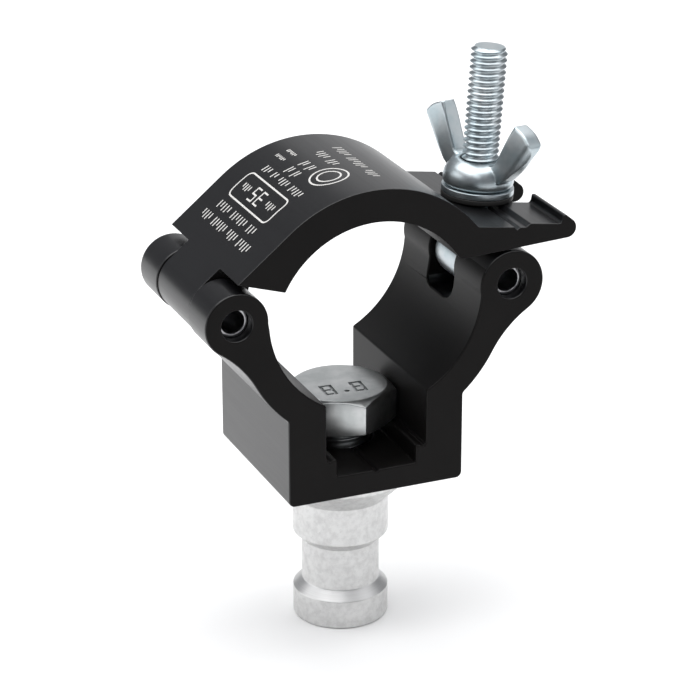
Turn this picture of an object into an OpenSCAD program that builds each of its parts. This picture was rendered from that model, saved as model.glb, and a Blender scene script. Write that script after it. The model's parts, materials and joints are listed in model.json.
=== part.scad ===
// Half-coupler pipe clamp for a 35 mm tube, with a swing bolt, a wing nut and a lighting spigot.
// The origin is the centre of the tube seat. X runs from the hinge to the swing bolt,
// Y runs along the tube and Z points up, away from the spigot.
// The arm is drawn closed down on an empty clamp, as it is stored.

/* [Clamp body] */
// Width of the extrusion along the tube
depth = 30; // [26:0.5:34]
// Radius of the tube seat in the lower body
seat_r = 18; // [17.5:0.1:18]
// Outer radius of the lower body round the seat
shell_r = 23; // [22.5:0.1:23.5]
// Distance of the hinge and the bolt pivot from the centre
pivot_x = 23.3; // [23.3:0.1:24]
// Radius of the two hinge ears
hinge_ear_r = 5.2; // [5.2:0.1:5.4]
// Radius of the two bolt ears
bolt_ear_r = 5.5; // [5.2:0.1:5.5]
// Radius of the hollow between a hinge ear and the shell
ear_fillet_r = 18; // [10:1:20]
// Width of the block under the seat
block_w = 30; // [28:0.5:32]
// Depth of the block's foot below the tube centre
foot_z = 32.2; // [31.5:0.1:33]
// Radius of the block's lower edges
block_edge_r = 1; // [0.5:0.1:1.5]

/* [Bolt channel] */
// Width of the channel that keeps the hexagon head from turning
channel_w = 17.2; // [16.6:0.1:17.6]
// Depth of the ledges that carry the head
ledge_z = 25.2; // [25:0.1:25.6]
// Width of the relief under the head
relief_w = 13.7; // [12:0.1:14.5]
// Depth of the relief floor
relief_z = 28.2; // [27.8:0.1:28.6]
// Depth of the centring grooves in the extrusion
groove_depth = 0.5; // [0.2:0.1:0.6]

/* [Pivots] */
// Radius of both spring pins
pin_r = 2.5; // [2:0.1:2.6]
// Wall thickness of the spring pins
pin_wall = 0.6; // [0.5:0.1:0.9]
// Length of the spring pins
pin_l = 26; // [24:0.5:28]
// Radial clearance of a turning part on its pin or bolt
run_fit = 0.05; // [0.03:0.01:0.08]
// Width of the hinge knuckle on the arm
knuckle_w = 14.1; // [13:0.1:15]
// Radius of the hinge knuckle
knuckle_r = 5; // [4.8:0.1:5.1]
// Side clearance of the knuckle between the ears
knuckle_gap = 0.2; // [0.1:0.05:0.4]
// Width of the slot for the swing bolt in the lower body
eye_slot_w = 9.4; // [9:0.1:10]
// Depth of that slot below the pivot
eye_slot_z = 5.6; // [5.2:0.1:6]

/* [Arm] */
// Turn of the closed arm past the place where it holds a 35 mm tube
arm_close = 8.3; // [7.5:0.1:8.5]
// Inner radius of the arm
arm_in_r = 16.9; // [16.6:0.1:17.2]
// Outer radius of the arm
arm_out_r = 22.2; // [21.9:0.1:22.4]
// Distance from the hinge to the milled end faces of the arm
end_face_d = 6.4; // [6.2:0.1:6.8]
// Slope of the milled end faces
end_face_slope = 8.7; // [7:0.1:10]
// Height of the washer seat above the tube centre
seat_z = 16.1; // [16:0.1:16.2]
// Rise from the washer seat to the outer flat
flat_rise = 0.65; // [0.5:0.05:0.7]
// Slope of the flange's underside
under_slope = 11.4; // [11:0.1:12]
// Radius of the flange's nose
nose_r = 1.6; // [1.5:0.1:1.7]
// Height of the lip above the outer flat
lip_h = 1.4; // [1:0.1:1.6]
// Width of the open slot for the swing bolt
arm_slot_w = 7.4; // [7:0.1:8]

/* [Swing bolt and wing nut] */
// Outward lean of the closed swing bolt
bolt_lean = 4.2; // [4:0.1:4.4]
// Radius of the M6 thread
thread_r = 2.95; // [2.9:0.01:2.98]
// Radius of the eye
eye_r = 4.7; // [4.4:0.1:4.9]
// Width of the eye
eye_w = 8.6; // [8:0.1:8.8]
// Distance from the pivot to the end of the bolt
bolt_l = 34.8; // [34:0.1:36]
// Distance from the pivot to the underside of the nylon washer
stack_s = 9.9; // [9.9:0.05:10.1]
// Outer radius of both washers
washer_r = 5.9; // [5.7:0.1:6]
// Bore radius of both washers
washer_bore_r = 3.2; // [3.1:0.05:3.3]
// Thickness of the nylon washer
nylon_t = 0.9; // [0.8:0.1:1]
// Thickness of the steel washer
washer_t = 1; // [0.9:0.1:1.2]
// Radius of the wing nut's hub
hub_r = 5.8; // [5.5:0.1:6]
// Height of the wing nut's hub
hub_h = 4.4; // [4:0.1:5]
// Thickness of each wing
wing_t = 3; // [2.5:0.1:3.4]
// Turn of the wings from the direction of the hinge
wing_turn = -72; // [-90:1:90]

/* [Spigot] */
// Width across the flats of the M10 head
head_af = 16; // [15.8:0.1:16]
// Height of the M10 head
head_h = 6.2; // [6:0.1:6.4]
// Small turn of the head in its channel
head_turn = 3.5; // [0:0.5:4]
// Radius of the M10 thread
screw_r = 4.95; // [4.8:0.05:5]
// Depth of the lower end of the M10 screw
screw_end_z = 50; // [46:1:52]
// Radius of the spigot
spigot_r = 7.9; // [7.7:0.05:8]
// Radius of the spigot's neck
neck_r = 6.4; // [6:0.1:6.6]
// Radius of the spigot's upper flange
flange_r = 12; // [10:0.5:12.5]
// Depth of the foot of the spigot
spigot_end_z = 60; // [59:0.5:62]

/* [Hidden] */
$fn = 96;
half_depth = depth / 2;
past = 1;                 // how far cutting solids run past a face
ear_w = half_depth - knuckle_w / 2 - knuckle_gap;
knuckle_room = 0.1;      // how far the milled room for the knuckle runs past the ears
hinge = [-pivot_x, 0];
nut_s = stack_s + nylon_t + washer_t;

// Point on a circle of radius r round c, at angle a
function on_circle(c, r, a) = c + r * [cos(a), sin(a)];
// Centre of a fillet of radius f that touches the circle (c, r) and the circle (0, s) from outside
function fillet_angle(d, r, s, f) = acos((d * d + (s + f) * (s + f) - (r + f) * (r + f)) / (2 * d * (s + f)));

// Arm outline: the outer line that touches the knuckle and the outer radius
tangent_a = 180 - acos((arm_out_r - knuckle_r) / pivot_x);
end_normal_a = 90 - end_face_slope;
neck_x = -pivot_x + 4.6;
neck_z = (end_face_d - (neck_x + pivot_x) * cos(end_normal_a)) / sin(end_normal_a);
// Arm outline: the flange
valley_x = sqrt(arm_out_r * arm_out_r - seat_z * seat_z);
ramp_x = [23.7, 24.4];
flat_z = seat_z + flat_rise;
nose = [31.1, flat_z - 0.75];
lip_x = 29.9;
lip_lean_a = 58;
under_n = [-sin(under_slope), cos(under_slope)];
under_d = under_n * nose - nose_r;
root_r = 1.2;
root_d = under_d + root_r;
root_t = sqrt((arm_in_r + root_r) * (arm_in_r + root_r) - root_d * root_d);
root = root_d * under_n + root_t * [cos(under_slope), sin(under_slope)];
arm_slot_x = 22.3;        // centre of the slot's round inner end

// Wing outline in the plane of the bolt's axis: distance from the axis, distance above the pivot
wing_root = [[3.2, 2.2], [4.4, 4.3], [6.2, 8.2], [7.7, 11.4]];
wing_back = [[11.6, 8.2], [9.3, 5], [6.8, 2.6], [5.2, 1.6]];
wing_tip = [9.9, 10.1];
wing_tip_r = 2.1;

// Spigot steps, as radius and depth
cone_z = 38.3;
foot_chamfer = spigot_r - neck_r;

// ---------------------------------------------------------------- helpers

module along_y(w) rotate([90, 0, 0]) linear_extrude(w, center = true) children();

module arm_frame() translate([-pivot_x, 0, 0]) rotate([0, arm_close, 0]) translate([pivot_x, 0, 0]) children();

module bolt_frame() translate([pivot_x, 0, 0]) rotate([0, bolt_lean, 0]) children();

module cross_hole(x, r, w) translate([x, 0, 0]) rotate([90, 0, 0]) cylinder(r = r, h = w, center = true);

module v_groove(x, z, size) translate([x, z]) rotate(45) square(size * sqrt(2), center = true);

// ---------------------------------------------------------------- lower body

module block_outline() {
    w = block_w / 2 - block_edge_r;
    translate([-block_w / 2, -foot_z + block_edge_r]) square([block_w, foot_z - block_edge_r - seat_r / 2]);
    translate([-w, -foot_z]) square([2 * w, block_edge_r + past]);
    for (side = [-1, 1]) translate([side * w, -foot_z + block_edge_r]) circle(block_edge_r);
}

// Hollow blend between an ear and the shell, on the +X side
module ear_blend(r) {
    a = fillet_angle(pivot_x, r, shell_r, ear_fillet_r);
    c = on_circle([0, 0], shell_r + ear_fillet_r, -a);
    toward_ear = ([pivot_x, 0] - c) / norm([pivot_x, 0] - c);
    difference() {
        polygon([c * shell_r / norm(c), c, c + ear_fillet_r * toward_ear, [pivot_x, 0], [pivot_x - r, -r / 2]]);
        translate(c) circle(ear_fillet_r, $fn = 192);
    }
}

module channel_outline() {
    translate([-channel_w / 2, -ledge_z]) square([channel_w, ledge_z]);
    translate([-relief_w / 2, -relief_z]) square([relief_w, ledge_z]);
    v_groove(0, -relief_z, groove_depth);
    for (side = [-1, 1]) v_groove(side * (channel_w / 2 - groove_depth), -ledge_z, groove_depth * 0.8);
}

module body_outline() {
    difference() {
        union() {
            intersection() {
                circle(shell_r, $fn = 192);
                translate([-shell_r, -shell_r]) square([2 * shell_r, shell_r - 0.4]);
            }
            ear_blend(bolt_ear_r);
            mirror([1, 0]) ear_blend(hinge_ear_r);
            block_outline();
        }
        circle(seat_r, $fn = 192);
        channel_outline();
    }
    translate([pivot_x, 0]) circle(bolt_ear_r);
    translate([-pivot_x, 0]) circle(hinge_ear_r);
}

// Room for the eye of the swing bolt, milled in from the side
module eye_slot() {
    corner = 2;
    translate([pivot_x, 0, 0]) rotate([90, 0, 90]) linear_extrude(2 * pivot_x, center = true) {
        translate([-eye_slot_w / 2, -eye_slot_z + corner]) square([eye_slot_w, 2 * eye_slot_z]);
        translate([-eye_slot_w / 2 + corner, -eye_slot_z]) square([eye_slot_w - 2 * corner, eye_slot_z]);
        for (side = [-1, 1]) translate([side * (eye_slot_w / 2 - corner), -eye_slot_z + corner]) circle(corner);
    }
}

module lower_body() {
    color("#26262a") difference() {
        along_y(depth) body_outline();
        cross_hole(-pivot_x, hinge_ear_r + knuckle_room, knuckle_w + 2 * knuckle_gap);
        cross_hole(-pivot_x, pin_r, depth + past);
        cross_hole(pivot_x, pin_r, depth + past);
        eye_slot();
        translate([0, 0, -foot_z - past]) cylinder(r = screw_r + 0.35, h = foot_z - relief_z + 2 * past);
    }
}

// ---------------------------------------------------------------- upper arm

module end_face_cut() {
    translate(hinge) rotate(end_normal_a) translate([end_face_d, -40]) square(80);
}

module arm_shell() {
    intersection() {
        union() {
            circle(arm_out_r, $fn = 192);
            polygon([hinge, on_circle(hinge, knuckle_r, tangent_a), on_circle([0, 0], arm_out_r, tangent_a), [0, 0]]);
        }
        end_face_cut();
        polygon([[0, 0], [valley_x, seat_z], [valley_x, 30], [-40, 30], [-40, 0]]);
    }
}

module flange_outline() {
    // Angle at which the flange's root runs into the shell
    overlap_a = 55;
    polygon([[valley_x, seat_z], [ramp_x[0], seat_z], [ramp_x[1], flat_z],
        [lip_x, flat_z], [lip_x + 0.1, flat_z + lip_h], [lip_x + 0.6, flat_z + lip_h + 0.1],
        on_circle(nose, nose_r, lip_lean_a), nose, nose - nose_r * under_n, root - root_r * under_n,
        root, root * (arm_in_r - 1) / norm(root), on_circle([0, 0], arm_in_r - 1, overlap_a),
        on_circle([0, 0], (arm_in_r + arm_out_r) / 2, overlap_a)]);
    translate(nose) circle(nose_r);
    translate(root) circle(root_r);
}

module arm_outline() {
    difference() {
        union() {
            arm_shell();
            flange_outline();
        }
        circle(arm_in_r, $fn = 192);
        v_groove(22.14, seat_z, groove_depth);
    }
}

module knuckle_outline() {
    polygon([hinge, on_circle(hinge, knuckle_r, tangent_a), on_circle([0, 0], arm_out_r, tangent_a),
        [neck_x, neck_z], [neck_x, 0]]);
    translate(hinge) circle(knuckle_r);
}

module upper_arm() {
    color("#26262a") arm_frame() difference() {
        union() {
            along_y(depth) arm_outline();
            along_y(knuckle_w) knuckle_outline();
        }
        cross_hole(-pivot_x, pin_r + run_fit, knuckle_w + past);
        translate([arm_slot_x, 0, 0]) cylinder(d = arm_slot_w, h = 30);
        translate([arm_slot_x, -arm_slot_w / 2, 0]) cube([20, arm_slot_w, 30]);
    }
}

// ---------------------------------------------------------------- pins

// Slotted spring pin, with its slot at angle slot_a
module spring_pin(x, slot_a) {
    chamfer = 0.4;
    translate([x, 0, 0]) rotate([90, 0, 0]) difference() {
        union() {
            cylinder(r = pin_r, h = pin_l - 2 * chamfer, center = true);
            for (side = [0, 1]) mirror([0, 0, side]) translate([0, 0, pin_l / 2 - chamfer])
                cylinder(r1 = pin_r, r2 = pin_r - chamfer / 2, h = chamfer);
        }
        cylinder(r = pin_r - pin_wall, h = pin_l + past, center = true);
        rotate(slot_a) translate([0, -0.4, -pin_l]) cube([2 * pin_r, 0.8, 2 * pin_l]);
    }
}

module hinge_pin() color("#8e9094") spring_pin(-pivot_x, 150);
module swing_bolt_pin() color("#8e9094") spring_pin(pivot_x, 165);

// ---------------------------------------------------------------- swing bolt, washers and wing nut

module swing_bolt() {
    end_chamfer = 0.6;
    color("#c4cad0") bolt_frame() difference() {
        union() {
            cross_hole(0, eye_r, eye_w);
            cylinder(r = thread_r, h = bolt_l - end_chamfer);
            translate([0, 0, bolt_l - end_chamfer])
                cylinder(r1 = thread_r, r2 = thread_r - end_chamfer, h = end_chamfer);
        }
        cross_hole(0, pin_r + run_fit, eye_w + past);
    }
}

module washer(s, t) bolt_frame() translate([0, 0, s]) difference() {
    cylinder(r = washer_r, h = t);
    translate([0, 0, -past]) cylinder(r = washer_bore_r, h = t + 2 * past);
}

module nylon_washer() color("#1c1c1e") washer(stack_s, nylon_t);
module steel_washer() color("#c9cdd2") washer(stack_s + nylon_t, washer_t);

module hub_outline() {
    bevel = 0.9;
    crown_r = hub_h - bevel;
    polygon([[0, 0], [hub_r - 0.8, 0], [hub_r, bevel], [hub_r, bevel + 0.2], [hub_r - crown_r, hub_h], [0, hub_h]]);
    intersection() {
        translate([hub_r - crown_r, bevel]) circle(crown_r);
        square([hub_r, hub_h]);
    }
}

module wing_outline() {
    polygon([for (p = wing_root) p, wing_tip + wing_tip_r * [-0.8, 0.9], wing_tip, for (p = wing_back) p]);
    translate(wing_tip) circle(wing_tip_r);
}

module wing_nut() {
    color("#c4cad0") bolt_frame() translate([0, 0, nut_s]) rotate(wing_turn) difference() {
        union() {
            rotate_extrude() hub_outline();
            for (side = [0, 180]) rotate(side) along_y(wing_t) wing_outline();
        }
        translate([0, 0, -past]) cylinder(r = thread_r + run_fit, h = 3 * hub_h);
    }
}

// ---------------------------------------------------------------- screw and spigot

module hex_bolt() {
    corner_r = head_af / 2 / cos(30);
    cone = 1.2;           // how far the head's corners are turned off
    color("#c4cad0") rotate(head_turn) union() {
        intersection() {
            translate([0, 0, -ledge_z]) rotate(30) cylinder(r = corner_r, h = head_h, $fn = 6);
            translate([0, 0, -ledge_z]) rotate_extrude()
                polygon([[0, 0], [corner_r + past, 0], [corner_r + past, head_h - cone - past * 0.4],
                    [head_af / 2 * 0.955, head_h], [0, head_h]]);
        }
        translate([0, 0, -screw_end_z]) cylinder(r = screw_r, h = screw_end_z - ledge_z);
    }
}

module spigot() {
    color("#cfd0d0") difference() {
        rotate_extrude() polygon([[0, -foot_z], [flange_r, -foot_z], [flange_r, -cone_z + flange_r - spigot_r],
            [spigot_r, -cone_z], [spigot_r, -44.8], [neck_r, -44.8 - foot_chamfer],
            [neck_r, -53.6], [spigot_r, -53.6 - foot_chamfer], [spigot_r, -spigot_end_z + 0.4],
            [spigot_r - 0.4, -spigot_end_z], [0, -spigot_end_z]]);
        translate([0, 0, -screw_end_z - past]) cylinder(r = screw_r, h = screw_end_z);
    }
}

lower_body();
upper_arm();
hinge_pin();
swing_bolt_pin();
swing_bolt();
nylon_washer();
steel_washer();
wing_nut();
hex_bolt();
spigot();
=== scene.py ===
import json
import math

import bmesh
import bpy
from mathutils import Matrix, Vector


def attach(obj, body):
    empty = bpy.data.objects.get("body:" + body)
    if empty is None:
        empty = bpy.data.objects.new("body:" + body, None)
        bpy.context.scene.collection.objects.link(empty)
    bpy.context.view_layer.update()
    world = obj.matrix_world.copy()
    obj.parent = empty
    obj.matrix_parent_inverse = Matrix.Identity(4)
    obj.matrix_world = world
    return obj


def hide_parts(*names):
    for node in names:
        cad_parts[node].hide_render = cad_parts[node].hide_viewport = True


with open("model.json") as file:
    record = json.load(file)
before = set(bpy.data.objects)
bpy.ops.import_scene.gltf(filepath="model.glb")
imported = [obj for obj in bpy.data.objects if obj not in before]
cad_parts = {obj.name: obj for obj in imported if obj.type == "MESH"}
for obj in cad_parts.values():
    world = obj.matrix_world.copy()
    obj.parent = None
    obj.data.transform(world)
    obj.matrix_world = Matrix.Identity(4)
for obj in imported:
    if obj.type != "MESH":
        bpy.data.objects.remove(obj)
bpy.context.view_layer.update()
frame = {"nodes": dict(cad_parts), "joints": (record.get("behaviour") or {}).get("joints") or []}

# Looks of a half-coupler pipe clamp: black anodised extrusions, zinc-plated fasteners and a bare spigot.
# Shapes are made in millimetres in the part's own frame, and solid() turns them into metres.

MM = 0.001
TAU = 2 * math.pi
SEGMENTS = 96                 # flats round a turned piece
CLOSE = 0.06                  # points of a CAD shape nearer than this, in millimetres, count as one

# ---------------------------------------------------------------- places, in millimetres, from the frame

JOINTS = {joint["name"]: joint for joint in frame["joints"]}
HINGE = Vector(JOINTS["arm_open"]["pos_m"]) / MM
PIVOT = Vector(JOINTS["bolt_swing"]["pos_m"]) / MM
BOLT_AXIS = Vector(JOINTS["wing_nut_turn"]["axis"])
ARM_CLOSE = math.radians(8.3)  # turn of the stored arm from the place where it holds its tube

BOLT_TURN = Matrix.Rotation(math.atan2(BOLT_AXIS.x, BOLT_AXIS.z), 4, "Y")
BOLT_PLACE = Matrix.Translation(PIVOT) @ BOLT_TURN
ARM_PLACE = Matrix.Translation(HINGE) @ Matrix.Rotation(ARM_CLOSE, 4, "Y") @ Matrix.Translation(-HINGE)

HINGE_EAR_R = 5.2
SEAT_CORNER_Z = -0.4          # height of the seat's corner beside the hinge ear
SEAT_CORNER_REACH = 0.2       # how far past the ear that corner is looked for
LEDGE_Z = -25.2               # ledges that carry the hexagon head
BLOCK_Z = -32.2               # foot of the clamp block
ARM_R = 22.2                  # outer radius of the arm

# Swing bolt stack, as distance from the pivot along the bolt
WASHERS = 9.9
NYLON = 0.9
STEEL = 1.0
NUT = WASHERS + NYLON + STEEL
BOLT_END = 34.8


# ---------------------------------------------------------------- outlines

def arc(centre, radius, start, end, steps):
    """Points along an arc, angles in degrees."""
    angles = [math.radians(start + (end - start) * k / steps) for k in range(steps + 1)]
    return [(centre[0] + radius * math.cos(a), centre[1] + radius * math.sin(a)) for a in angles]


def rounded(corners, steps=4):
    """A closed outline from (x, y, round) corners, each corner replaced by an arc of that radius."""
    points = []
    for k, (x, y, radius) in enumerate(corners):
        here = Vector((x, y))
        before = Vector(corners[k - 1][:2]) - here
        after = Vector(corners[(k + 1) % len(corners)][:2]) - here
        half = before.angle(after) / 2 if radius else 0
        reach = radius / math.tan(half) if radius else 0
        if not reach:
            points.append((x, y))
            continue
        centre = here + (before.normalized() + after.normalized()).normalized() * radius / math.sin(half)
        a = here + before.normalized() * reach - centre
        b = here + after.normalized() * reach - centre
        sweep = a.angle_signed(b)
        for step in range(steps + 1):
            turned = a.copy()
            turned.rotate(Matrix.Rotation(-sweep * step / steps, 2))
            points.append(tuple(centre + turned))
    return points


# ---------------------------------------------------------------- solids

def lathe(outline, steps=SEGMENTS):
    """Turns a closed outline of (radius, height) points round the Z axis."""
    bm = bmesh.new()
    rings = []
    for radius, height in outline:
        if radius < 1e-6:
            rings.append([bm.verts.new((0, 0, height))] * steps)
            continue
        turn = [TAU * k / steps for k in range(steps)]
        rings.append([bm.verts.new((radius * math.cos(a), radius * math.sin(a), height)) for a in turn])
    for ring, after in zip(rings, rings[1:] + rings[:1]):
        for k in range(steps):
            k2 = (k + 1) % steps
            corners = list(dict.fromkeys([ring[k], ring[k2], after[k2], after[k]]))
            if len(corners) > 2:
                bm.faces.new(corners)
    return bm


def extrude(outline, low, high):
    """A prism on an outline in the XY plane, from height low to high."""
    bm = bmesh.new()
    floor = [bm.verts.new((x, y, low)) for x, y in outline]
    top = [bm.verts.new((x, y, high)) for x, y in outline]
    bm.faces.new(floor[::-1])
    bm.faces.new(top)
    for k in range(len(outline)):
        k2 = (k + 1) % len(outline)
        bm.faces.new((floor[k], floor[k2], top[k2], top[k]))
    return bm


def screw_thread(radius, pitch, low, high, core, end_chamfer=0.0, steps=64):
    """A threaded rod along Z, cut flat at low and high. It runs in from the core to an optional chamfer."""
    # One pitch of the thread as (share of the pitch, radius): root flat, flank, crest flat, flank
    profile = [(0.0, core), (0.16, core), (0.24, core + 0.1 * (radius - core)), (0.47, radius - 0.03),
               (0.52, radius), (0.60, radius), (0.65, radius - 0.03), (0.92, core + 0.1 * (radius - core))]
    turns = math.ceil((high - low) / pitch) + 2
    bm = bmesh.new()
    rows = []
    for turn in range(turns):
        for share, r in profile:
            row = []
            for k in range(steps):
                height = low + (turn - 1 + share + k / steps) * pitch
                limit = min(core + max(height - low, 0),
                            radius - end_chamfer + max(high - height, 0) if end_chamfer else radius)
                a = TAU * k / steps
                held = min(r, max(limit, core * 0.8))
                row.append(bm.verts.new((held * math.cos(a), held * math.sin(a), height)))
            rows.append(row)
    for j in range(len(rows) - len(profile) - 1):
        for k in range(steps - 1):
            bm.faces.new((rows[j][k], rows[j][k + 1], rows[j + 1][k + 1], rows[j + 1][k]))
        lap = j + len(profile)
        bm.faces.new((rows[j][-1], rows[lap][0], rows[lap + 1][0], rows[j + 1][-1]))
    loose = [v for v in bm.verts if not v.link_faces]
    bmesh.ops.delete(bm, geom=loose, context="VERTS")
    for height, side in ((low, -1), (high, 1)):
        everything = bm.verts[:] + bm.edges[:] + bm.faces[:]
        bmesh.ops.bisect_plane(bm, geom=everything, plane_co=(0, 0, height), plane_no=(0, 0, side),
                               clear_outer=True)
        rim = [e for e in bm.edges if e.is_boundary and all(abs(v.co.z - height) < 1e-5 for v in e.verts)]
        bmesh.ops.holes_fill(bm, edges=rim, sides=0)
    return bm


def flatten_seat_corner(bm):
    """Lays the seat's corner, 0.12 mm proud of the hinge ear, onto the ear's round, so it can't spike."""
    ear_x = HINGE.x + math.sqrt(HINGE_EAR_R ** 2 - SEAT_CORNER_Z ** 2)
    for vert in bm.verts:
        if abs(vert.co.z - SEAT_CORNER_Z) < CLOSE and ear_x < vert.co.x < ear_x + SEAT_CORNER_REACH:
            vert.co.x = ear_x


def from_cad(node):
    """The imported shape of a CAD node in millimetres, welded, with its flat faces made whole."""
    bm = bmesh.new()
    bm.from_mesh(frame["nodes"][node].data)
    bmesh.ops.scale(bm, vec=(1 / MM,) * 3, verts=bm.verts)
    if node == "lower_body":
        flatten_seat_corner(bm)
    bmesh.ops.remove_doubles(bm, verts=bm.verts, dist=CLOSE)
    bmesh.ops.dissolve_limit(bm, angle_limit=math.radians(0.3), verts=bm.verts[:], edges=bm.edges[:])
    return bm


def thing(name, bm, place=Matrix.Identity(4)):
    """A new object from a bmesh in millimetres."""
    bmesh.ops.recalc_face_normals(bm, faces=bm.faces)
    bm.transform(place)
    mesh = bpy.data.meshes.new(name)
    bm.to_mesh(mesh)
    bm.free()
    made = bpy.data.objects.new(name, mesh)
    bpy.context.scene.collection.objects.link(made)
    return made


def apply_modifiers(made):
    """Keeps what the object's modifiers make as its mesh."""
    bpy.context.view_layer.update()
    graph = bpy.context.evaluated_depsgraph_get()
    mesh = bpy.data.meshes.new_from_object(made.evaluated_get(graph))
    made.modifiers.clear()
    made.data = mesh


def combine(made, other, operation="UNION"):
    """Joins another object into this one, or cuts it away, and removes it."""
    step = made.modifiers.new("combine", "BOOLEAN")
    step.operation = operation
    step.solver = "EXACT"
    step.object = other
    apply_modifiers(made)
    bpy.data.objects.remove(other)


def break_edges(made, width, segments=2, angle=35):
    """Rounds every edge sharper than the angle."""
    step = made.modifiers.new("edges", "BEVEL")
    step.width = width
    step.segments = segments
    step.limit_method = "ANGLE"
    step.angle_limit = math.radians(angle)
    step.use_clamp_overlap = False
    step.harden_normals = False
    step.miter_outer = "MITER_ARC"
    apply_modifiers(made)


def even_shading(made):
    """Lets the large flat faces keep their own shading next to the small rounds."""
    step = made.modifiers.new("shading", "WEIGHTED_NORMAL")
    step.keep_sharp = True
    step.weight = 80
    apply_modifiers(made)


def solid(made, body, replaced, materials, smooth=35):
    """Finishes a piece: metres, smooth shading, body, finish and the CAD nodes that it stands for."""
    made.data.transform(Matrix.Diagonal((MM, MM, MM, 1)))
    made.data.materials.clear()
    for material in materials:
        made.data.materials.append(material)
    made.data.shade_smooth()
    made.data.set_sharp_from_angle(angle=math.radians(smooth))
    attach(made, body)
    if replaced:
        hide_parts(*replaced)
    return made


def face_slots(made, chosen, index):
    """Gives the faces that chosen(face) picks the material slot of that index."""
    for face in made.data.polygons:
        if chosen(face):
            face.material_index = index


# ---------------------------------------------------------------- materials

class Shader:
    """A Principled material with short calls for its texture nodes."""

    def __init__(self, name, **sockets):
        self.material = bpy.data.materials.new(name)
        self.material.use_nodes = True
        self.tree = self.material.node_tree
        self.bsdf = self.tree.nodes["Principled BSDF"]
        self.place = self.node("ShaderNodeTexCoord").outputs["Object"]
        for socket, value in sockets.items():
            self.bsdf.inputs[socket.replace("_", " ")].default_value = value

    def node(self, kind, inputs=None, **settings):
        made = self.tree.nodes.new(kind)
        for name, value in settings.items():
            setattr(made, name, value)
        for key, value in (inputs or {}).items():
            if isinstance(value, bpy.types.NodeSocket):
                self.tree.links.new(value, made.inputs[key])
            else:
                made.inputs[key].default_value = value
        return made

    def noise(self, size_mm, detail=3.0, stretch=(1, 1, 1), rough=0.55):
        """Noise whose features are about size_mm across, drawn out along an axis by stretch."""
        scale = tuple(1 / (size_mm * MM * s) for s in stretch)
        spread = self.node("ShaderNodeMapping", {"Vector": self.place, "Scale": scale})
        return self.node("ShaderNodeTexNoise", {"Vector": spread.outputs[0], "Scale": 1.0, "Detail": detail,
                                                "Roughness": rough}).outputs["Fac"]

    def ramp(self, value, low, high, out_low, out_high):
        return self.node("ShaderNodeMapRange", {"Value": value, "From Min": low, "From Max": high,
                                                "To Min": out_low, "To Max": out_high}).outputs[0]

    def blend(self, share, first, second):
        made = self.node("ShaderNodeMix", {"Factor": share}, data_type="RGBA")
        for key, value in (("A", first), ("B", second)):
            socket = [i for i in made.inputs if i.name == key and i.type == "RGBA"][0]
            if isinstance(value, bpy.types.NodeSocket):
                self.tree.links.new(value, socket)
            else:
                socket.default_value = (*value, 1)
        return [o for o in made.outputs if o.type == "RGBA"][0]

    def link(self, value, socket):
        self.tree.links.new(value, self.bsdf.inputs[socket])

    def bump(self, height, strength, depth_mm, after=None):
        inputs = {"Height": height, "Strength": strength, "Distance": depth_mm * MM}
        if after:
            inputs["Normal"] = after
        return self.node("ShaderNodeBump", inputs).outputs[0]


def anodised_extrusion():
    """Satin black anodised skin with faint die lines along the tube."""
    shader = Shader("black_anodised", Metallic=0.0, Roughness=0.3, IOR=1.48)
    cloud = shader.noise(9, 3)
    lines = shader.noise(0.3, 2, stretch=(1, 60, 1))
    grain = shader.noise(0.08, 2)
    shader.link(shader.blend(cloud, (0.0035, 0.0035, 0.0042), (0.006, 0.006, 0.007)), "Base Color")
    shader.link(shader.ramp(lines, 0.3, 0.7, 0.28, 0.32), "Roughness")
    first = shader.bump(lines, 0.03, 0.01)
    shader.link(shader.bump(grain, 0.05, 0.006, first), "Normal")
    return shader.material


def anodised_cut(name, gloss):
    """The sawn and milled faces of the extrusions, duller and a little browner; gloss is the skin's IOR. A
    second copy, with its own gloss, is painted shade on the hollow faces.
    """
    shader = Shader(name, Metallic=0.0, Roughness=0.42, IOR=gloss)
    cloud = shader.noise(6, 4)
    saw = shader.noise(0.2, 2, stretch=(40, 1, 1))
    grain = shader.noise(0.1, 3)
    shader.link(shader.blend(cloud, (0.0032, 0.0028, 0.0028), (0.006, 0.0052, 0.005)), "Base Color")
    shader.link(shader.ramp(grain, 0.3, 0.7, 0.38, 0.5), "Roughness")
    first = shader.bump(saw, 0.08, 0.01)
    shader.link(shader.bump(grain, 0.1, 0.01, first), "Normal")
    return shader.material


def bright_zinc(name, dark, light, grain_strength):
    """Bright zinc plate, clouded between two tones, with handling marks as strong as grain_strength."""
    shader = Shader(name, Metallic=1.0, Roughness=0.33)
    cloud = shader.noise(3.5, 3)
    marks = shader.noise(0.5, 4, rough=0.65)
    grain = shader.noise(0.12, 2)
    shader.link(shader.blend(shader.ramp(cloud, 0.35, 0.65, 0, 1), dark, light), "Base Color")
    shader.link(shader.ramp(marks, 0.3, 0.7, 0.28, 0.38), "Roughness")
    first = shader.bump(marks, grain_strength, 0.02)
    shader.link(shader.bump(grain, grain_strength, 0.006, first), "Normal")
    return shader.material


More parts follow.
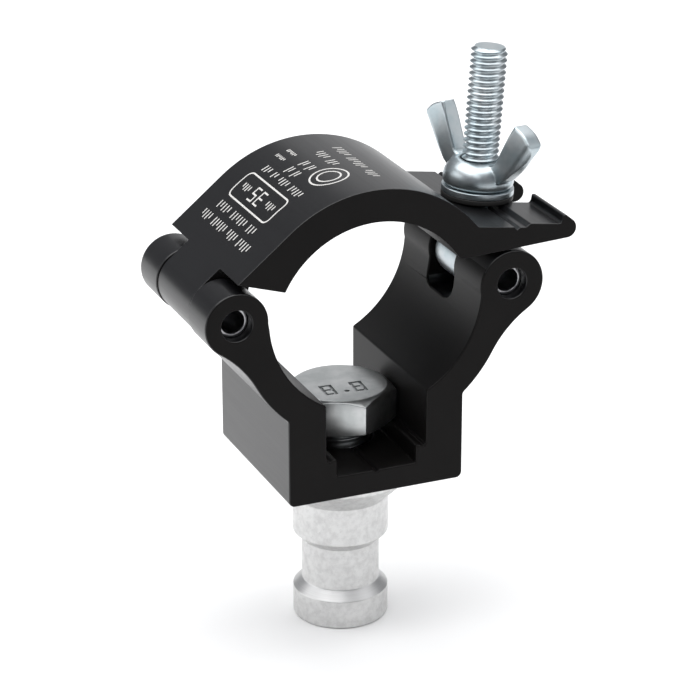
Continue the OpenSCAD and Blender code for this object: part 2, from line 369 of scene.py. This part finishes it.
def bare_aluminium():
    """Turned bare aluminium, mottled, with fine tool rings round the axis."""
    shader = Shader("bare_aluminium", Metallic=1.0, Roughness=0.45)
    mottle = shader.noise(1.1, 4, rough=0.65)
    pits = shader.noise(0.3, 3, rough=0.6)
    rings = shader.noise(0.09, 1, stretch=(80, 80, 1))
    tone = shader.blend(shader.ramp(mottle, 0.36, 0.6, 0, 1), (0.6, 0.598, 0.595), (0.68, 0.68, 0.675))
    spots = shader.ramp(pits, 0.66, 0.74, 0, 1)
    shader.link(shader.blend(spots, tone, (0.5, 0.495, 0.49)), "Base Color")
    shader.link(shader.ramp(mottle, 0.35, 0.65, 0.5, 0.36), "Roughness")
    first = shader.bump(rings, 0.25, 0.01)
    shader.link(shader.bump(pits, 0.3, 0.02, first), "Normal")
    return shader.material


def polished_aluminium():
    """The freshly turned chamfer above the spigot's foot."""
    shader = Shader("turned_aluminium", Metallic=1.0, Roughness=0.4)
    rings = shader.noise(0.12, 1, stretch=(80, 80, 1))
    shader.link(shader.blend(rings, (0.58, 0.58, 0.58), (0.68, 0.68, 0.68)), "Base Color")
    shader.link(shader.bump(rings, 0.2, 0.008), "Normal")
    return shader.material


def spring_steel():
    """Rolled spring steel, oiled and darker than the plated parts."""
    shader = Shader("spring_steel", Metallic=1.0, Roughness=0.3)
    cloud = shader.noise(1.2, 4)
    shader.link(shader.blend(cloud, (0.3, 0.3, 0.31), (0.5, 0.5, 0.51)), "Base Color")
    shader.link(shader.bump(shader.noise(0.15, 3), 0.2, 0.01), "Normal")
    return shader.material


def black_nylon():
    """Matt moulded nylon."""
    shader = Shader("black_nylon", Metallic=0.0, Roughness=0.55, IOR=1.5)
    cloud = shader.noise(1.5, 3)
    shader.link(shader.blend(cloud, (0.012, 0.012, 0.012), (0.022, 0.022, 0.021)), "Base Color")
    shader.link(shader.bump(shader.noise(0.12, 3), 0.25, 0.012), "Normal")
    return shader.material


def etched_mark():
    """Laser-etched marks: the white oxide under the black skin."""
    shader = Shader("etched_mark", Metallic=0.0, Roughness=0.7, IOR=1.45)
    speck = shader.noise(0.12, 3, rough=0.7)
    shader.link(shader.blend(shader.ramp(speck, 0.35, 0.55, 0, 1), (0.34, 0.33, 0.32), (0.72, 0.71, 0.69)),
                "Base Color")
    return shader.material


ANODISED = anodised_extrusion()
CUT = anodised_cut("black_anodised_cut", 1.2)
# A second copy of the cut look, duller than the skin: painted shade on the seat, the ears' inner sides, the
# channel and the arm's hollow side.
SEAT_SHADE = anodised_cut("black_anodised_seat_painted_shade", 1.28)
ZINC = bright_zinc("bright_zinc", (0.42, 0.49, 0.52), (0.54, 0.58, 0.6), 0.04)
HEAD_ZINC = bright_zinc("zinc_stamped_head", (0.45, 0.47, 0.47), (0.6, 0.61, 0.61), 0.14)
ALUMINIUM = bare_aluminium()
POLISHED = polished_aluminium()
SPRING = spring_steel()
NYLON_LOOK = black_nylon()
ETCH = etched_mark()


# ---------------------------------------------------------------- generic figures

def digit_strokes(digit, line):
    """A plain digit in a cell 1 wide and 1.8 high, as bars (x0, y0, x1, y1) of the given line width."""
    top, middle = 1.8, 0.9
    strokes = {"top": (0, top - line, 1, top), "middle": (0, middle - line / 2, 1, middle + line / 2),
               "bottom": (0, 0, 1, line), "up_left": (0, middle, line, top),
               "up_right": (1 - line, middle, 1, top), "low_left": (0, 0, line, middle),
               "low_right": (1 - line, 0, 1, middle)}
    lit = {"3": ["top", "middle", "bottom", "up_right", "low_right"],
           "5": ["top", "middle", "bottom", "up_left", "low_right"],
           "8": list(strokes)}[digit]
    return [strokes[name] for name in lit]


# ---------------------------------------------------------------- extrusions

SEAT_R = 18.0
SEAT_SKIN = 0.8               # how far outside the seat's radius the centre of one of its faces may lie
EAR_TOP = 3.0                 # height up to which an ear's inner side counts as part of the seat and gets its painted shade
CHANNEL_HALF = 9.0
CHANNEL_LOW = BLOCK_Z * 0.95  # the foot's own faces lie below this
ARM_IN_R = 16.9
ARM_SKIN = 0.3                # the same for the hollow side of the arm
FACES_ALONG = 0.9             # a face with a normal this far along the tube is a cut end


def extrusion(node, name, body, width, in_painted_shade):
    """A clamp half: the CAD shape with broken edges, a duller finish on its cut ends, and painted shade on
    its inside, a duller copy of that finish.
    """
    made = thing(name, from_cad(node))
    break_edges(made, width, 3)
    solid(made, body, [node], [ANODISED, CUT, SEAT_SHADE])
    even_shading(made)
    face_slots(made, in_painted_shade, 2)
    face_slots(made, lambda face: abs(face.normal.y) > FACES_ALONG, 1)
    return made


def body_painted_shade(face):
    """The tube seat, the inner side of the ears and the inside of the channel, which get painted shade."""
    place = face.center / MM
    in_seat = place.xz.length < SEAT_R + SEAT_SKIN and place.z < EAR_TOP
    return in_seat or (abs(place.x) < CHANNEL_HALF and CHANNEL_LOW < place.z < 0)


def arm_painted_shade(face):
    """The arm's hollow side, which closes on the tube and gets painted shade."""
    return (ARM_PLACE.inverted() @ (face.center / MM)).xz.length < ARM_IN_R + ARM_SKIN


extrusion("lower_body", "clamp_body", "body", 0.3, body_painted_shade)
extrusion("upper_arm", "clamp_arm", "arm", 0.16, arm_painted_shade)


# ---------------------------------------------------------------- etched marks on the arm

# Marks lie on a strip (u, y): u runs along the arm's outline from the point where its outer curve
# meets the flat above the hinge, positive towards the hinge, and y runs along the tube.
KNUCKLE_R = 5.0
TANGENT = math.pi - math.acos((ARM_R - KNUCKLE_R) / -HINGE.x)
MARK_LOW = -0.05
MARK_HIGH = 0.03
TICK = 0.26                   # width of a tick
LINE = 0.3                    # width of the frame's and the rings' lines

# Rows of ticks: u of the row's middle, y of its start and end, height, ticks in each group
TICK_ROWS = [
    (6.35, -9.1, 10.9, 1.6, (5, 4, 6, 4)),
    (3.66, -6.4, 9.2, 1.5, (3, 6, 5)),
    (-1.0, -5.4, -2.2, 1.3, (4,)),
    (-1.0, 4.6, 7.6, 1.3, (4,)),
    (-5.45, -7.2, 8.2, 1.4, (5, 4, 2, 3)),
    (-7.8, -0.4, 3.6, 1.9, (2, 2)),
    (-10.4, -0.4, 3.6, 1.9, (2, 2)),
    (-14.2, -1.0, 6.4, 1.7, (3, 4)),
    (-8.6, 6.7, 10.1, 0.7, (6,)),
    (-10.6, 6.7, 10.1, 0.7, (6,)),
    (-17.9, -8.4, 7.7, 1.7, (4, 6, 5)),
]
PLATE = [(-3.6, -7.0, 1.1), (1.6, -7.0, 1.1), (1.6, 8.9, 1.1), (-3.6, 8.9, 1.1)]  # corners of the frame


def on_arm(u, y, lift):
    """Point at a height above the arm's outer surface."""
    a = TANGENT + min(u, 0) / ARM_R
    reach = ARM_R + lift
    past = max(u, 0)
    x = reach * math.cos(a) - past * math.sin(a)
    z = reach * math.sin(a) + past * math.cos(a)
    return ARM_PLACE @ Vector((x, y, z))


def mark_bar(bm, u0, y0, u1, y1):
    """A thin closed bar between two corners of the strip."""
    corners = ((u0, y0), (u1, y0), (u1, y1), (u0, y1))
    low = [bm.verts.new(on_arm(u, y, MARK_LOW)) for u, y in corners]
    high = [bm.verts.new(on_arm(u, y, MARK_HIGH)) for u, y in corners]
    bm.faces.new(low[::-1])
    bm.faces.new(high)
    for k in range(4):
        k2 = (k + 1) % 4
        bm.faces.new((low[k], low[k2], high[k2], high[k]))


def mark_line(bm, path, width):
    """A thin closed band along a closed path of (u, y) points."""
    rings = []
    for k, (u, y) in enumerate(path):
        along = Vector(path[(k + 1) % len(path)]) - Vector(path[k - 1])
        side = Vector((-along.y, along.x)).normalized() * width / 2
        rings.append([bm.verts.new(on_arm(u + w * side.x, y + w * side.y, lift))
                      for w, lift in ((-1, MARK_LOW), (1, MARK_LOW), (1, MARK_HIGH), (-1, MARK_HIGH))])
    for k, ring in enumerate(rings):
        after = rings[(k + 1) % len(rings)]
        for j in range(4):
            j2 = (j + 1) % 4
            bm.faces.new((ring[j], ring[j2], after[j2], after[j]))


def mark_ticks(bm, u, y_start, y_end, height, words):
    """A row of upright ticks in groups, long and short in turn; words gives the ticks in each group."""
    count = sum(words) + len(words) - 1
    step = (y_end - y_start) / count
    place = 0
    for word in words:
        for k in range(word):
            y = y_start + (place + k) * step
            tall = height if k % 3 else height * 0.7
            mark_bar(bm, u - height / 2, y, u - height / 2 + tall, y + TICK)
        place += word + 1


def mark_number(bm, digits, u, y, scale, line):
    """Plain digits that read along the tube, with their feet at u."""
    for k, digit in enumerate(digits):
        for x0, y0, x1, y1 in digit_strokes(digit, line):
            start = y + k * 1.5 * scale
            mark_bar(bm, u + y0 * scale, start + x0 * scale, u + y1 * scale, start + x1 * scale)


def even_path(corners, step):
    """A closed path with points no further apart than step."""
    path = []
    for k, here in enumerate(corners):
        after = Vector(corners[(k + 1) % len(corners)])
        here = Vector(here)
        parts = max(1, math.ceil((after - here).length / step))
        path += [tuple(here.lerp(after, j / parts)) for j in range(parts)]
    return path


def etched_marks():
    """A size number in a plain frame, two plain rings and rows of ticks."""
    bm = bmesh.new()
    for row in TICK_ROWS:
        mark_ticks(bm, *row)
    mark_line(bm, even_path(rounded(PLATE, 6), 0.5), LINE)
    mark_number(bm, "35", -2.4, -0.9, 1.6, 0.19)
    for radius in (3.1, 1.9):
        mark_line(bm, arc((-11.4, -5.2), radius, 0, 352.5, 47), LINE)
    solid(thing("etched_marks", bm), "arm", [], [ETCH])


etched_marks()


# ---------------------------------------------------------------- spring pins

PIN_R = 2.5
PIN_WALL = 0.6
PIN_HALF = 13.0


def spring_pin(node, centre, slot_angle):
    """A rolled pin: a C-shaped strip with rounded lips, chamfered at both ends."""
    gap = 10                  # half the slot, in degrees
    inner = PIN_R - PIN_WALL
    outline = arc((0, 0), PIN_R, gap, 360 - gap, 60) + arc((0, 0), inner, 360 - gap, gap, 60)
    bm = extrude(outline, -PIN_HALF, PIN_HALF)
    place = Matrix.Translation(centre) @ Matrix.Rotation(math.radians(90), 4, "X")
    made = thing("roll_" + node, bm, place @ Matrix.Rotation(math.radians(slot_angle), 4, "Z"))
    break_edges(made, 0.18, 3, 50)
    return solid(made, "body", [node], [SPRING])


spring_pin("hinge_pin", HINGE, 150)
spring_pin("swing_bolt_pin", PIVOT, 165)


# ---------------------------------------------------------------- swing bolt, washers and wing nut

THREAD_R = 2.95
THREAD_CORE = 2.42
SHANK_R = 2.62                # rolled-thread blank between the eye and the thread
SHANK_END = 8.2
EYE_R = 4.7
EYE_HALF = 4.3
EYE_BORE = 2.55
WASHER_BORE = 3.2
WASHER_R = 5.9

WING_T = 3.0
TIP_INNER = (8.2, 12.1)       # ends of the wing's straight tip
TIP_OUTER = (12.3, 9.3)
WING_TURN = -72.0
FOOT_GAP = 0.04               # keeps the nut's foot just clear of the washer


def swing_bolt():
    """M6 eye bolt: a turned eye with a rounded rim, a plain neck and a rolled thread."""
    rim = 0.5
    eye = lathe(rounded([(EYE_BORE, -EYE_HALF, 0.25), (EYE_R, -EYE_HALF, rim), (EYE_R, EYE_HALF, rim),
                         (EYE_BORE, EYE_HALF, 0.25)]))
    made = thing("m6_swing_bolt", eye, Matrix.Rotation(math.radians(90), 4, "X"))
    neck = lathe([(0, EYE_R - 1.4), (SHANK_R + 0.9, EYE_R - 1.4), (SHANK_R + 0.25, EYE_R),
                  (SHANK_R, EYE_R + 0.9), (SHANK_R, SHANK_END + 0.3), (0, SHANK_END + 0.3)], 64)
    combine(made, thing("neck", neck))
    thread = screw_thread(THREAD_R, 1.0, SHANK_END, BOLT_END, THREAD_CORE, 0.55)
    combine(made, thing("thread", thread))
    made.data.transform(BOLT_PLACE)
    return solid(made, "bolt", ["swing_bolt"], [ZINC], 40)


def ring(name, low, height, edge_low, edge_high):
    """A flat washer on the bolt, with its own round on the lower and the upper rim."""
    high = low + height
    outline = rounded([(WASHER_BORE, low, 0.12), (WASHER_R, low, edge_low), (WASHER_R, high, edge_high),
                       (WASHER_BORE, high, 0.12)])
    return thing(name, lathe(outline), BOLT_PLACE)


def wing_outline():
    """One wing seen from the side: distance from the axis, height above the nut's foot, corner round."""
    return rounded([(1.6, 1.2, 0), (5.0, 1.3, 0.6), (6.9, 2.5, 2.0), (9.4, 5.0, 3.0), (11.3, 7.2, 2.2),
                    (*TIP_OUTER, 1.3), (10.6, 11.1, 4.0), (*TIP_INNER, 0.3), (6.5, 8.6, 4.0),
                    (4.6, 4.6, 1.5), (1.6, 3.6, 0)], 6)


def rounded_tip():
    """A bar with rounded corners that runs down the wing and gives its tip an oval face."""
    half = WING_T / 2
    section = rounded([(-2.5, -half, 0.8), (2.75, -half, 1.35), (2.75, half, 1.35), (-2.5, half, 0.8)], 8)
    lean = math.atan2(TIP_OUTER[1] - TIP_INNER[1], TIP_OUTER[0] - TIP_INNER[0])
    middle = ((TIP_OUTER[0] + TIP_INNER[0]) / 2, (TIP_OUTER[1] + TIP_INNER[1]) / 2, 0)
    along = Matrix.Rotation(lean, 4, "Z") @ Matrix.Rotation(math.radians(-90), 4, "X")
    return thing("tip", extrude(section, -20, 3), Matrix.Translation(middle) @ along)


def hub_outline():
    """Half of the hub: a short foot, a domed shoulder and a flat crown, down to a core of the axis."""
    shoulder = arc((2.55, 1.35), 3.25, -8, 72, 14)
    return [(0, 0), (4.9, 0), (5.3, 0.12), (5.65, 0.5)] + shoulder + [(3.05, 4.4), (2.8, 4.2), (0, 4.2)]


def soften(made, voxel, passes):
    """Runs a joined shape's creases together, as forging does, and thins the mesh again."""
    remesh = made.modifiers.new("remesh", "REMESH")
    remesh.mode = "VOXEL"
    remesh.voxel_size = voxel
    smooth = made.modifiers.new("smooth", "SMOOTH")
    smooth.factor = 0.5
    smooth.iterations = passes
    thin = made.modifiers.new("thin", "DECIMATE")
    thin.ratio = 0.35
    apply_modifiers(made)


def wing_nut():
    """Forged M6 wing nut: a domed hub with two plate wings that run into it."""
    made = thing("forged_wing_nut", lathe(hub_outline()))
    for side in (0, 180):
        wing = thing("wing", extrude(wing_outline(), -WING_T / 2, WING_T / 2))
        break_edges(wing, 0.25, 3, 50)
        combine(wing, rounded_tip(), "INTERSECT")
        stand = Matrix.Rotation(math.radians(90), 4, "X")
        wing.data.transform(Matrix.Rotation(math.radians(side + WING_TURN), 4, "Z") @ stand)
        combine(made, wing)
    soften(made, 0.12, 4)
    bore = lathe([(0, -1), (7, -1), (7, FOOT_GAP), (3.35, FOOT_GAP), (3.0, 0.4), (3.0, 4.0), (3.3, 4.35),
                  (3.3, 6), (0, 6)], 64)
    combine(made, thing("bore", bore), "DIFFERENCE")
    made.data.transform(BOLT_PLACE @ Matrix.Translation((0, 0, NUT)))
    return solid(made, "nut", ["wing_nut"], [ZINC], 60)


swing_bolt()
solid(ring("nylon_ring", WASHERS, NYLON, 0.2, 0.25), "washers", ["nylon_washer"],
      [NYLON_LOOK])
solid(ring("steel_ring", WASHERS + NYLON, STEEL, 0.12, 0.16), "washers",
      ["steel_washer"], [ZINC])
wing_nut()


# ---------------------------------------------------------------- hexagon bolt and spigot

HEAD_AF = 16.0
HEAD_H = 6.2
HEAD_TURN = 3.5
HEAD_TOP = Matrix.Translation((0, 0, LEDGE_Z + HEAD_H)) @ Matrix.Rotation(math.radians(-4), 4, "Z")
STAMP = 2.2                   # width of a stamped digit
SCREW_R = 4.95
SCREW_CORE = 4.15
SCREW_END = -50.0


def hex_head():
    """The M10 head: a hexagon with its corners turned off at 30 degrees."""
    corner = HEAD_AF / 2 / math.cos(math.radians(30))
    prism = extrude(arc((0, 0), corner, 0, 300, 5), LEDGE_Z, LEDGE_Z + HEAD_H)
    made = thing("m10_hexagon_bolt", prism, Matrix.Rotation(math.radians(30 + HEAD_TURN), 4, "Z"))
    flat = HEAD_AF / 2 * 0.955
    slope = math.tan(math.radians(30))
    top = LEDGE_Z + HEAD_H
    drop = (corner + 1 - flat) * slope
    turned = lathe([(0, LEDGE_Z), (flat, LEDGE_Z), (corner + 1, LEDGE_Z + drop * 0.6),
                    (corner + 1, top - drop), (flat, top), (0, top)])
    combine(made, thing("turned", turned), "INTERSECT")
    break_edges(made, 0.12, 2, 20)
    stamp(made, "8", (-3.9, -4.2))
    stamp(made, "8", (1.2, -4.2))
    dot = thing("dot", lathe([(0, -0.3), (0.42, -0.3), (0.42, 0.5), (0, 0.5)], 16),
                HEAD_TOP @ Matrix.Translation((0, -3.5, 0)))
    combine(made, dot, "DIFFERENCE")
    return made


def stamp(made, digit, corner):
    """Presses a digit of the strength grade into the top of the head."""
    for x0, y0, x1, y1 in digit_strokes(digit, 0.26):
        corners = ((x0, y0), (x1, y0), (x1, y1), (x0, y1))
        outline = [(corner[0] + STAMP * x, corner[1] + STAMP * y) for x, y in corners]
        combine(made, thing("stroke", extrude(outline, -0.3, 0.5), HEAD_TOP), "DIFFERENCE")


def hexagon_bolt():
    """The M10 bolt: its stamped head, and the thread that holds the spigot."""
    made = hex_head()
    thread = screw_thread(SCREW_R, 1.5, SCREW_END, LEDGE_Z + 0.5, SCREW_CORE)
    combine(made, thing("thread", thread))
    return solid(made, "body", ["hex_bolt"], [HEAD_ZINC], 30)


SPIGOT_R = 7.9
SPIGOT_END = -60.0
FLANGE_R = 12.0
CONE_END = -38.3              # where the cone under the block reaches the spigot's own radius
NECK_R = 6.4
NECK_HIGH = -44.8
NECK_LOW = -53.6


def spigot():
    """Turned stud: a cone under the block, a plain seat, a locking neck and a foot."""
    bore = SCREW_R + 0.03
    step = SPIGOT_R - NECK_R
    flange_low = CONE_END + FLANGE_R - SPIGOT_R
    corners = [(bore, BLOCK_Z, 0.3), (FLANGE_R, BLOCK_Z, 0.3), (FLANGE_R, flange_low, 0.3),
               (SPIGOT_R, CONE_END, 0.4), (SPIGOT_R, NECK_HIGH, 0.25), (NECK_R, NECK_HIGH - step, 0.35),
               (NECK_R, NECK_LOW, 0.35), (SPIGOT_R, NECK_LOW - step, 0.25), (SPIGOT_R, SPIGOT_END, 0.4),
               (0, SPIGOT_END, 0), (0, SCREW_END - 0.6, 0), (bore, SCREW_END - 0.4, 0)]
    made = thing("turned_spigot", lathe(rounded(corners, 5), 128))
    solid(made, "body", ["spigot"], [ALUMINIUM, POLISHED])
    low = (NECK_LOW - step) * MM
    high = (NECK_LOW + 0.2) * MM
    face_slots(made, lambda face: low < face.center.z < high and 0.2 < abs(face.normal.z) < 0.9, 1)
    return made


hexagon_bolt()
spigot()


# ---------------------------------------------------------------- stage, light and camera

FLOOR_SIDE = 2.0              # metres from the middle to either side, to the front and to the back
FLOOR_FRONT = -1.2
FLOOR_BACK = 2.2


def floor():
    """A plain pale floor under the spigot's foot."""
    low = SPIGOT_END * MM
    bm = bmesh.new()
    outline = ((-FLOOR_SIDE, FLOOR_FRONT), (FLOOR_SIDE, FLOOR_FRONT),
               (FLOOR_SIDE, FLOOR_BACK), (-FLOOR_SIDE, FLOOR_BACK))
    bm.faces.new([bm.verts.new((x, y, low)) for x, y in outline])
    mesh = bpy.data.meshes.new("paper_floor")
    bm.to_mesh(mesh)
    bm.free()
    made = bpy.data.objects.new("paper_floor", mesh)
    bpy.context.scene.collection.objects.link(made)
    shader = Shader("white_paper", Metallic=0.0, Roughness=0.9, IOR=1.4)
    shader.link(shader.blend(shader.noise(60, 2), (0.92, 0.92, 0.92), (0.93, 0.93, 0.93)), "Base Color")
    mesh.materials.append(shader.material)


def soft_box(name, place, aim, size, power):
    """A white area light of a size in metres, turned towards aim."""
    lamp = bpy.data.lights.new(name, "AREA")
    lamp.shape = "RECTANGLE"
    lamp.size, lamp.size_y = size
    lamp.energy = power
    made = bpy.data.objects.new(name, lamp)
    made.location = place
    made.rotation_euler = (Vector(aim) - Vector(place)).to_track_quat("-Z", "Y").to_euler()
    bpy.context.scene.collection.objects.link(made)


def lights():
    """A large box overhead, boxes on the left, on the right and behind, and a small key box."""
    centre = (0, 0, -0.01)
    soft_box("top_box", (0, 0.2, 1.1), (0, 0.2, 0), (2.0, 1.7), 28)
    soft_box("left_box", (-0.85, 0.25, 0.12), centre, (0.7, 0.9), 3)
    soft_box("right_box", (0.85, -0.5, 0.4), centre, (0.7, 0.7), 1.2)
    soft_box("back_box", (0.5, 0.82, 0.22), centre, (0.65, 0.55), 0.6)
    soft_box("key_box", (-0.35, -0.65, 0.75), centre, (0.22, 0.3), 0.6)
    world = bpy.data.worlds.new("room")
    world.use_nodes = True
    world.node_tree.nodes["Background"].inputs["Color"].default_value = (0.93, 0.95, 1, 1)
    world.node_tree.nodes["Background"].inputs["Strength"].default_value = 0.24
    bpy.context.scene.world = world


def camera():
    """A long lens at the photograph's angle: from the hinge side, a little above."""
    eye = Vector((-0.15902, -0.37650, 0.15467))
    aim = Vector((0.00154, 0.0, -0.01378))
    lens = bpy.data.cameras.new("camera")
    lens.sensor_width = 36
    lens.lens = 140.5
    lens.shift_x = 0.0017
    lens.shift_y = 0.0023
    lens.clip_start = 0.01
    made = bpy.data.objects.new("camera", lens)
    made.location = eye
    made.rotation_euler = (aim - eye).to_track_quat("-Z", "Y").to_euler()
    bpy.context.scene.collection.objects.link(made)
    bpy.context.scene.camera = made


floor()
lights()
camera()
bpy.context.scene.view_settings.view_transform = "Standard"
